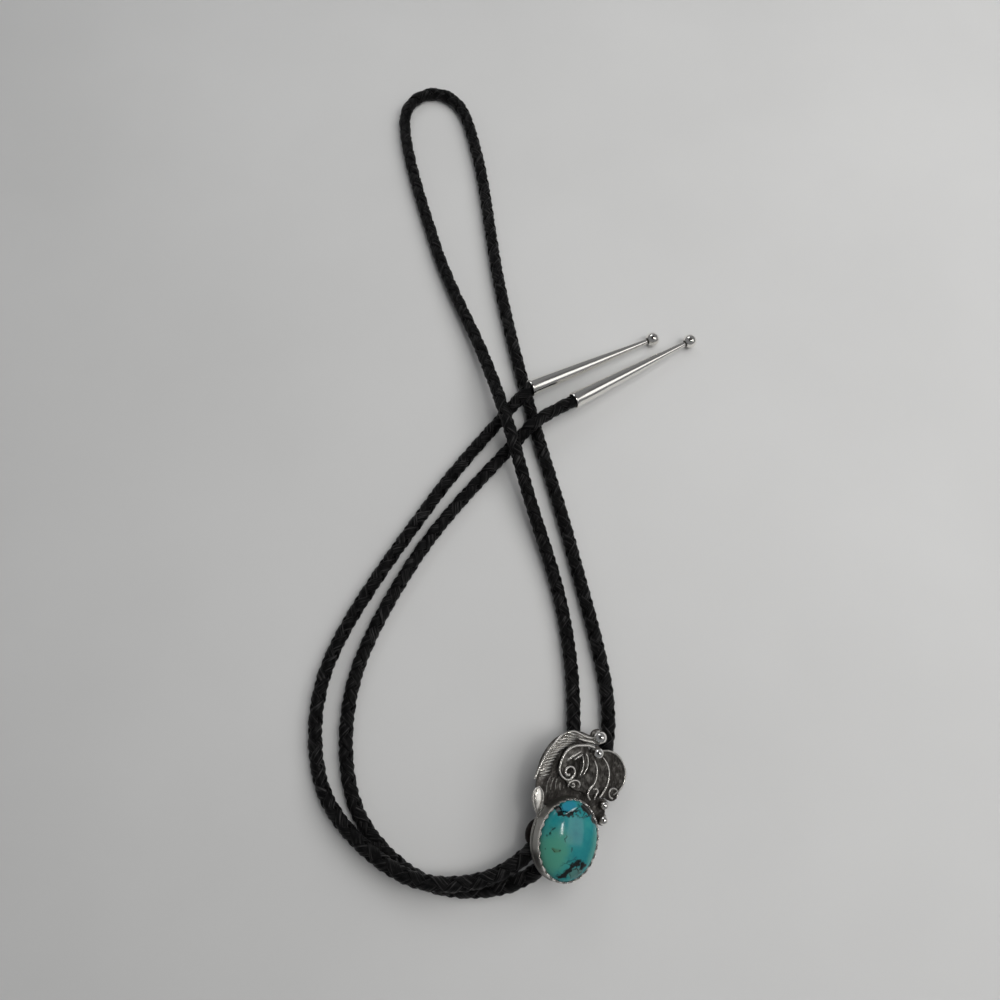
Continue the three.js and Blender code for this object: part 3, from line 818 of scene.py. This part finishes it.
scroll_wires = [
    wire(arc(9.0, 20.1, 6.7, leaf_top, 112, -52), WIRE, taper=(0.7, 1, 1, 1, 1, 1, 1, 0.9, 0.6)),
    scroll(middle_rim, WIRE, (0.7, 1, 1, 1, 1, 0.8), middle_top),
    scroll(inner_rim, WIRE, (0.7, 1, 1, 1, 1, 1, 0.8)),
    scroll(big_scroll, 0.38, (1.5, 1.3, 1.2, 1.1, *(1,) * 12, 1.1, 1.25, 1.4)),
    scroll(small_scroll, WIRE, (0.7, 1, 1, 1, 1, 1, 0.7)),
    scroll(small_curl, 0.26),
    scroll(outer_vein, 0.27, (0.7, 1, 1, 1, 0.7)),
    scroll(inner_vein, 0.27, (0.6, 1, 1, 0.7)),
    scroll(outer_barb, 0.44, (0.4, 1, 0.5)),
    scroll(inner_barb, 0.4, (0.4, 1, 0.5)),
    scroll(hook, 0.3, (0.8, 1, 1, 1, 0.7), middle_top),
    wire(arc(12.9, 15.2, 1.45, leaf_top, -35, 275), 0.32),
]
crest_piece("crest_wires", scroll_wires, relief_silver, 1.2, 2.3)

# %% [markdown]
# Low on the left the ground shows a few short lines, struck with a curved punch before the scrolls were
# soldered on. Their raised edges catch the light, so each is a very thin wire, half sunk in the ground.

# %% Punched lines
punched_lines = [
    [(-7.9, 15.6), (-8.4, 13.2), (-8.1, 11.0)], [(-6.7, 15.6), (-7.1, 13.7), (-7.0, 12.0)],
    [(-5.7, 15.4), (-5.8, 13.8), (-5.5, 12.6)], [(-4.5, 14.6), (-4.4, 13.4), (-4.0, 12.5)],
    [(-3.2, 14.2), (-3.1, 13.2)],
]
punch_wires = [scroll(line, 0.17, height=ground_top) for line in punched_lines]
crest_piece("punch_marks", punch_wires, relief_silver, 0.9, 1.9)

# %% [markdown]
# Silver balls are scraps of silver melted on a block: round, with a flat foot where they sank. Each starts
# as a sphere whose bottom is cut off, and stands on a small disc of sheet.

# %% Silver balls
BALL_CUT = -0.78
FOOT_DEPTH = 0.12
FOOT_SPREAD = 1.18
BALL_RISE = 0.75
DISC_EDGE = 0.35
silver_balls = [(4.7, 29.9, 2.0), (5.2, 25.3, 1.7), (10.55, 11.3, 1.4), (11.15, 7.3, 1.4)]

ball_pieces = []
for across, up, radius in silver_balls:
    bpy.ops.mesh.primitive_uv_sphere_add(segments=40, ring_count=24, radius=radius * MM)
    ball = bpy.context.object
    with editing(ball):
        cut_below(BALL_CUT * radius)
        choose_cap(ball, -1)
        extrude_down(FOOT_DEPTH)
        stretch_selected(FOOT_SPREAD, FOOT_SPREAD)
    ball.location = (across * MM, up * MM, (PLATE + BALL_RISE * radius) * MM)
    settle(ball)
    ball_pieces += [ball, plate(across, up, radius + DISC_EDGE, radius + DISC_EDGE, PLATE)]
polished_silver = silver_material("polished_silver", (0.12, 0.11, 0.1), (0.9, 0.88, 0.85), 0.4, 0.1, 0.1)
crest_piece("crest_balls", ball_pieces, polished_silver, 0.6, 2.2)

# %% [markdown]
# The cabochon is an oval dome on an upright girdle. It is the upper half of a stretched sphere, with its
# cut edge drawn straight down to the seat. Near the top a flat chip is missing from the dome, so a sloping
# plane cuts it off there.

# %% Cabochon
STONE_GIRDLE = 3.9
STONE_DOME = 3.4
STONE_SEAT = PLATE + SEAT_GAP
SEAT_EDGE = 0.2
SEAT_SHARE = 0.97
CHIP_PLACE = (-1.85, 7.95, 7.42)
CHIP_SLOPE = (-0.214, 0.542, 0.8125)

bpy.ops.mesh.primitive_uv_sphere_add(segments=96, ring_count=64, radius=MM)
stone = bpy.context.object
stone.name = "turquoise_cabochon"
stone.scale = (STONE_HALF_WIDTH, STONE_HALF_LENGTH, STONE_DOME)
settle(stone)
with editing(stone):
    cut_below(0)
    choose_cap(stone, -1)
    extrude_down(STONE_GIRDLE - SEAT_EDGE)
    extrude_down(SEAT_EDGE)
    stretch_selected(SEAT_SHARE, SEAT_SHARE)
stone.location = (0, 0, (STONE_SEAT + STONE_GIRDLE) * MM)
settle(stone)
with editing(stone):
    chip_middle = Vector(CHIP_PLACE) * MM
    bpy.ops.mesh.bisect(plane_co=chip_middle, plane_no=CHIP_SLOPE, clear_outer=True, use_fill=True)
print("stone top at", STONE_SEAT + STONE_GIRDLE + STONE_DOME, "mm")

# %% [markdown]
# Turquoise is a soft blue-green stone with seams of dark host rock, the matrix. Its colour drifts from
# blue at the right to green at the lower left. The matrix gathers round a chip at the top and in one patch
# at the bottom, so each is a soft spot on the stone, broken up by noise. The coordinates are turned back
# to the slide's frame, so spots are in millimetres across and up the stone.


# %% Turquoise
def spot(tree, vector, across, up, half_across, half_up, turn, soft):
    """1 inside an oval spot and 0 outside it, with a soft edge."""
    inputs = {
        "Vector": vector,
        "Location": (across, up, 0),
        "Rotation": (0, 0, math.radians(turn)),
        "Scale": (half_across, half_up, 1e6),
    }
    centred = node(tree, "Mapping", inputs, vector_type="TEXTURE").outputs["Vector"]
    distance = node(tree, "VectorMath", {0: centred}, operation="LENGTH").outputs["Value"]
    return remap(tree, distance, 1 - soft, 1 + soft, 1.0, 0.0)


def spots(tree, vector, places, soft):
    """Several spots of one softness as one mask."""
    return combined(tree, "MAXIMUM", *[spot(tree, vector, *place, soft) for place in places])


def painted(tree, colour, vector, patches):
    """A colour with patches over it. A patch is a spot, its strength and its own colour."""
    for place, strength, tint in patches:
        mask = combined(tree, "MULTIPLY", spot(tree, vector, *place), strength)
        colour = blend_colours(tree, mask, colour, tint)
    return colour


body_tones = [(0.3, (0.008, 0.155, 0.18)), (0.5, (0.013, 0.195, 0.21)), (0.7, (0.025, 0.24, 0.23))]
green_side = ((-5.2, -4.2, 4.6, 6.4, -10, 0.5), 0.9, (0.065, 0.25, 0.175))
right_edge = ((8.4, 1.5, 2.2, 7.0, -8, 0.6), 0.7, (0.04, 0.24, 0.2))
brown_stain = ((-4.3, -3.0, 0.9, 0.55, 20, 0.8), 0.55, (0.06, 0.075, 0.02))
grey_inset = ((3.4, -7.6, 2.3, 1.5, 25, 0.3), 0.8, (0.075, 0.16, 0.14))
chip = ((-2.6, 8.9, 2.5, 1.15, 30, 0.15), 0.9, (0.015, 0.2, 0.29))
# A thin pale line along the chip's lower edge is a painted highlight.
chip_edge_painted_highlight = ((-1.9, 8.05, 1.75, 0.2, 38, 0.4), 0.95, (0.5, 0.62, 0.64))
matrix_places = [
    (0.7, -7.4, 0.85, 2.3, -30), (2.7, -5.1, 2.1, 0.75, 20), (4.9, -5.4, 0.8, 1.1, -35),
    (-0.4, -9.4, 1.5, 0.8, 0), (-4.5, 6.6, 1.6, 0.42, -20), (-1.4, 7.3, 2.6, 0.42, 28),
    (3.0, 9.3, 2.5, 1.15, -28), (6.0, 7.3, 1.7, 0.9, -50), (-5.7, 7.9, 0.8, 0.7, 0),
]
vein_places = [(2.0, -6.6, 3.6, 2.6, 10), (1.5, 8.6, 5.5, 1.6, 0)]
speck_places = [
    (-6.6, 2.1, 0.75, 0.3, 60), (-7.2, 0.6, 0.6, 0.3, 50), (-2.4, 0.6, 0.7, 0.22, 100),
    (-3.7, -2.7, 0.35, 0.25, 0), (-4.8, -3.3, 0.3, 0.22, 0), (-6.9, -3.6, 0.3, 0.22, 40),
    (0.2, -1.6, 0.3, 0.2, 20),
]

turquoise, tree, shader = new_material("turquoise")
stone_place = slide_coordinates(tree)
# The spots' outlines waver by up to about a millimetre.
waver = {0: noise(tree, stone_place, 0.55, 4, 0.6, "Color"), 1: (0.5, 0.5, 0.5)}
centred = node(tree, "VectorMath", waver, operation="SUBTRACT").outputs["Vector"]
moved = {0: centred, 1: (3.2, 3.2, 0), 2: stone_place}
wavy = node(tree, "VectorMath", moved, operation="MULTIPLY_ADD").outputs["Vector"]

body = ramp(tree, noise(tree, stone_place, 0.22, 3, 0.55), body_tones)
body = painted(tree, body, wavy, [green_side, right_edge, brown_stain, grey_inset])
veins = node(tree, "TexVoronoi", {"Vector": wavy, "Scale": 0.42}, feature="DISTANCE_TO_EDGE")
vein_lines = remap(tree, veins.outputs["Distance"], 0.015, 0.06, 1.0, 0.0)
vein_mask = combined(tree, "MULTIPLY", vein_lines, spots(tree, wavy, vein_places, 0.4))
speck_mask = combined(tree, "MULTIPLY", spots(tree, wavy, speck_places, 0.6), 0.8)
matrix = combined(tree, "MAXIMUM", spots(tree, wavy, matrix_places, 0.3), vein_mask, speck_mask)
matrix_tones = [(0.4, (0.002, 0.003, 0.004)), (0.75, (0.012, 0.016, 0.014))]
matrix_colour = ramp(tree, noise(tree, stone_place, 3.5, 4), matrix_tones)
colour = blend_colours(tree, matrix, body, matrix_colour)
stone_inputs = {
    # The chip and the painted highlight along its edge go over the stone's colours.
    "Base Color": painted(tree, colour, stone_place, [chip, chip_edge_painted_highlight]),
    "Roughness": remap(tree, matrix, 0, 1, 0.14, 0.26),
    "Specular IOR Level": 0.42,
    "Coat Weight": 0.15,
    "Coat Roughness": 0.08,
    "Normal": bump(tree, matrix, 0.0001, 0.5, invert=True),
}
plug(tree, shader, stone_inputs)
place_on_slide(stone, turquoise, smooth_degrees=9)
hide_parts("turquoise_stone")
print("turquoise:", len(tree.nodes), "nodes")

# %% [markdown]
# Behind the slide, the clip grips both runs of the cord. In the picture only its dark end shows, left of
# the stone. It is a flattened double tube: a round bar split down the middle and drawn apart, with a
# rounded ear at the end that shows, two channels cut through it and its rims rounded.

# %% Clip behind the slide
CLIP_LENGTH = 18.0
CHANNEL_RADIUS = 2.6
CHANNEL_OFFSET = 3.05
CLIP_HALF_HEIGHT = 3.45
CLIP_TURN = math.radians(-20)
CLIP_PLACE = (-0.2, 3.1, -SEAT_GAP - CLIP_HALF_HEIGHT)
EAR_PLACE = (-4.0 * MM, 0, 5.6 * MM)
EAR_HALF_SIZES = (3.9, 3.0, 4.4)


def put_together(piece, other, operation):
    """Unite another piece with this one, or cut it out of it."""
    use_modifier(piece, "BOOLEAN", object=other, operation=operation, solver="EXACT")
    pick(other)
    bpy.ops.object.delete()


bpy.ops.mesh.primitive_cylinder_add(vertices=64, radius=CLIP_HALF_HEIGHT * MM, depth=CLIP_LENGTH * MM)
clip = bpy.context.object
clip.name = "back_clip_tubes"
with editing(clip):
    bpy.ops.mesh.bisect(plane_co=(0, 0, 0), plane_no=(1, 0, 0))
    for side in (1, -1):
        choose(clip, "VERT", lambda point: side * point.co.x > 0.01 * MM)
        bpy.ops.transform.translate(value=(side * CHANNEL_OFFSET * MM, 0, 0))
bpy.ops.mesh.primitive_uv_sphere_add(segments=48, ring_count=24, radius=MM, location=EAR_PLACE)
ear = bpy.context.object
ear.scale = EAR_HALF_SIZES
settle(ear)
put_together(clip, ear, "UNION")
for side in (-1, 1):
    place = (side * CHANNEL_OFFSET * MM, 0, 0)
    bpy.ops.mesh.primitive_cylinder_add(
        vertices=48, radius=CHANNEL_RADIUS * MM, depth=1.2 * CLIP_LENGTH * MM, location=place
    )
    put_together(clip, bpy.context.object, "DIFFERENCE")
round_edges(clip, 0.22, 3, 60)
clip.rotation_euler = (math.radians(90), 0, 0)
settle(clip)
clip.rotation_euler = (0, 0, CLIP_TURN)
clip.location = Vector(CLIP_PLACE) * MM

# The clip's colour is near-black with a slight brown, mottled by noise.
brass, tree, shader = new_material("tarnished_brass")
dark_tone = noise(tree, object_place(tree), 420, 5, 0.6)
rub = noise(tree, object_place(tree), 1800, 3)
brass_tones = [(0.3, (0.003, 0.002, 0.002)), (0.52, (0.011, 0.007, 0.006)), (0.75, (0.045, 0.028, 0.021))]
brass_inputs = {
    "Base Color": ramp(tree, dark_tone, brass_tones),
    "Roughness": remap(tree, dark_tone, 0.3, 0.75, 0.62, 0.4),
    "Metallic": 0.75,
    "Normal": bump(tree, rub, 0.00006, 0.4),
}
plug(tree, shader, brass_inputs)
place_on_slide(clip, brass)
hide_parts("back_clip")

# %% [markdown]
# The cord ends in two long silver cones. Such a tip is a rolled and soldered cone with a ball on its
# point, slid over the cord and fixed. It is drawn out of one ring, extruded again and again along the
# outline, from inside the socket, round the lip and along to the ball.

# %% Silver tips
TIP_LENGTH = 51.2
TIP_BALL_RADIUS = 2.45
BALL_ROUNDS = 14
# Tarnish stays inside the socket, up to this depth and radius, and in a ring where the cone meets its ball.
SOCKET_DEPTH = 7.0
SOCKET_RADIUS = 2.6
DARK_RING = (48.5, 49.1)
DARK_RISE = 0.1
# Heights and radii, from inside the socket round the lip to the neck.
tip_outline = [(8.0, 0.5), (8.0, 2.26), (0.35, 2.56), (0.0, 2.62), (-0.05, 2.78), (0.0, 2.93), (0.25, 2.99)]
tip_outline += [(0.7, 2.98), (0.95, 2.9), (6.0, 2.68), (15.0, 2.37), (25.25, 2.0), (34.0, 1.58)]
tip_outline += [(41.4, 1.25), (45.5, 1.1), (48.1, 1.05), (48.6, 0.98)]
for angle in np.radians(np.linspace(26, 176, BALL_ROUNDS + 1)):
    height = TIP_LENGTH - TIP_BALL_RADIUS * math.cos(angle)
    tip_outline.append((height, TIP_BALL_RADIUS * math.sin(angle)))


def tip_rise(point):
    """Dark in the socket and in the ring beside the ball, worn bright elsewhere."""
    height = point.co.z / MM
    radius = math.hypot(point.co.x, point.co.y) / MM
    in_socket = height < SOCKET_DEPTH and radius < SOCKET_RADIUS
    in_ring = DARK_RING[0] < height < DARK_RING[1]
    return DARK_RISE if in_socket or in_ring else 1.0


def silver_tip(name, mouth, ball_centre, roll):
    """A cone with its mouth and its ball at these places, turned by roll degrees about its own axis."""
    height, radius = tip_outline[0]
    bpy.ops.mesh.primitive_circle_add(
        vertices=48, radius=radius * MM, fill_type="NGON", location=(0, 0, height * MM)
    )
    tip = bpy.context.object
    tip.name = name
    settle(tip)
    with editing(tip):
        choose(tip, "EDGE", lambda edge: True)
        draw_ring(tip_outline)
        bpy.ops.mesh.edge_face_add()
    face_outward(tip)
    store_rise(tip, [tip_rise(point) for point in tip.data.vertices])
    direction = Vector(ball_centre) - Vector(mouth)
    turn = direction.to_track_quat("Z", "Y").to_matrix().to_4x4()
    turn = turn @ Matrix.Rotation(math.radians(roll), 4, "Z")
    tip.matrix_world = Matrix.Translation(mouth) @ turn
    settle(tip)
    bpy.ops.object.shade_smooth_by_angle(angle=math.radians(50))
    return tip


tip_silver = silver_material("tip_silver", (0.1, 0.095, 0.085), (0.9, 0.88, 0.84), 0.5, 0.17, 0.12)
upper_mouth = cord_route[1]
lower_mouth = cord_route[-2]
upper_ball = (0.0334, 0.1591, 0.00245)
lower_ball = (0.0470, 0.1582, 0.00245)
for name, mouth, ball_centre, roll, cad_node in (
    ("tip_cone_upper", upper_mouth, upper_ball, 20, "tip_upper"),
    ("tip_cone_lower", lower_mouth, lower_ball, 200, "tip_lower"),
):
    tip = silver_tip(name, mouth, ball_centre, roll)
    tip.data.materials.append(tip_silver)
    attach(tip, "root")
    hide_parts(cad_node)
    print(name, len(tip.data.polygons), "faces")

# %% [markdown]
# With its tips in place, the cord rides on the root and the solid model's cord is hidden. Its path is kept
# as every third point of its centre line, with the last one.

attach(cord, "root")
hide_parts("braided_cord")
cord_path = centre_line[::3].tolist()
cord_path.append(centre_line[-1].tolist())
print("cord declared,", len(cord_path), "path points")

# %% [markdown]
# The table is a plain pale surface. It is so large that no edge shows, and slightly uneven in tone, so
# that it doesn't look like paper.

# %% Table
bpy.ops.mesh.primitive_plane_add(size=6)
table = bpy.context.object
table.name = "table"
pale, tree, shader = new_material("pale_table")
table_tones = [(0.3, (0.60, 0.60, 0.595)), (0.7, (0.64, 0.64, 0.635))]
colour = ramp(tree, noise(tree, object_place(tree), 9, 3), table_tones)
plug(tree, shader, {"Base Color": colour, "Roughness": 0.55, "Specular IOR Level": 0.3})
table.data.materials.append(pale)
print("table ready")

# %% [markdown]
# Daylight comes from the right: a long narrow lamp there makes the narrow highlight on the stone, a weak
# panel beside it makes the bright line on each tip, a larger one lights the table, and a small one behind
# on the left gives the balls their second highlight. The large one is kept out of reflections, as the
# metal would be too evenly bright with it. Polished silver mirrors the room, so the walls are pale and the
# ceiling is dark, which gives the metal both tones.

# %% Light
SLIDE_FOOT = (0, 0, 0)
TABLE_MIDDLE = (-0.02, 0.1, 0)
ROOM_STRENGTH = 0.3


def soft_lamp(name, place, aim, sides, power, colour):
    """A rectangular lamp at a place, turned to shine at a point."""
    bpy.ops.object.light_add(type="AREA", location=place)
    lamp = bpy.context.object
    lamp.name = name
    lamp.data.shape = "RECTANGLE"
    lamp.data.size, lamp.data.size_y = sides
    lamp.data.energy = power
    lamp.data.color = colour
    lamp.rotation_euler = (Vector(place) - Vector(aim)).to_track_quat("Z", "Y").to_euler()
    return lamp


soft_lamp("window_light", (0.27, 0.02, 0.8), SLIDE_FOOT, (0.2, 0.03), 0.52, (1.0, 0.985, 0.96))
soft_lamp("panel_light", (0.78, -0.04, 0.83), TABLE_MIDDLE, (0.6, 0.6), 1.2, (1.0, 0.99, 0.975))
sky = soft_lamp("room_light", (0.33, 0.2, 0.58), TABLE_MIDDLE, (0.75, 0.75), 3.95, (1.0, 0.995, 0.985))
sky.visible_glossy = False
soft_lamp("side_light", (-0.25, 0.75, 0.55), TABLE_MIDDLE, (0.35, 0.35), 0.8, (0.97, 0.99, 1.0))

room = bpy.data.worlds.new("room")
bpy.context.scene.world = room
room.use_nodes = True
tree = room.node_tree
direction = node(tree, "TexCoord").outputs["Generated"]
rise = node(tree, "SeparateXYZ", {"Vector": direction}).outputs["Z"]
# From the horizon to the ceiling.
room_tones = [
    (0.0, (0.5, 0.51, 0.53)), (0.45, (0.62, 0.63, 0.65)),
    (0.78, (0.5, 0.5, 0.52)), (0.93, (0.1, 0.1, 0.1)),
]
background = tree.nodes["Background"]
plug(tree, background, {"Color": ramp(tree, rise, room_tones), "Strength": ROOM_STRENGTH})
bpy.context.scene.view_settings.view_transform = "Standard"
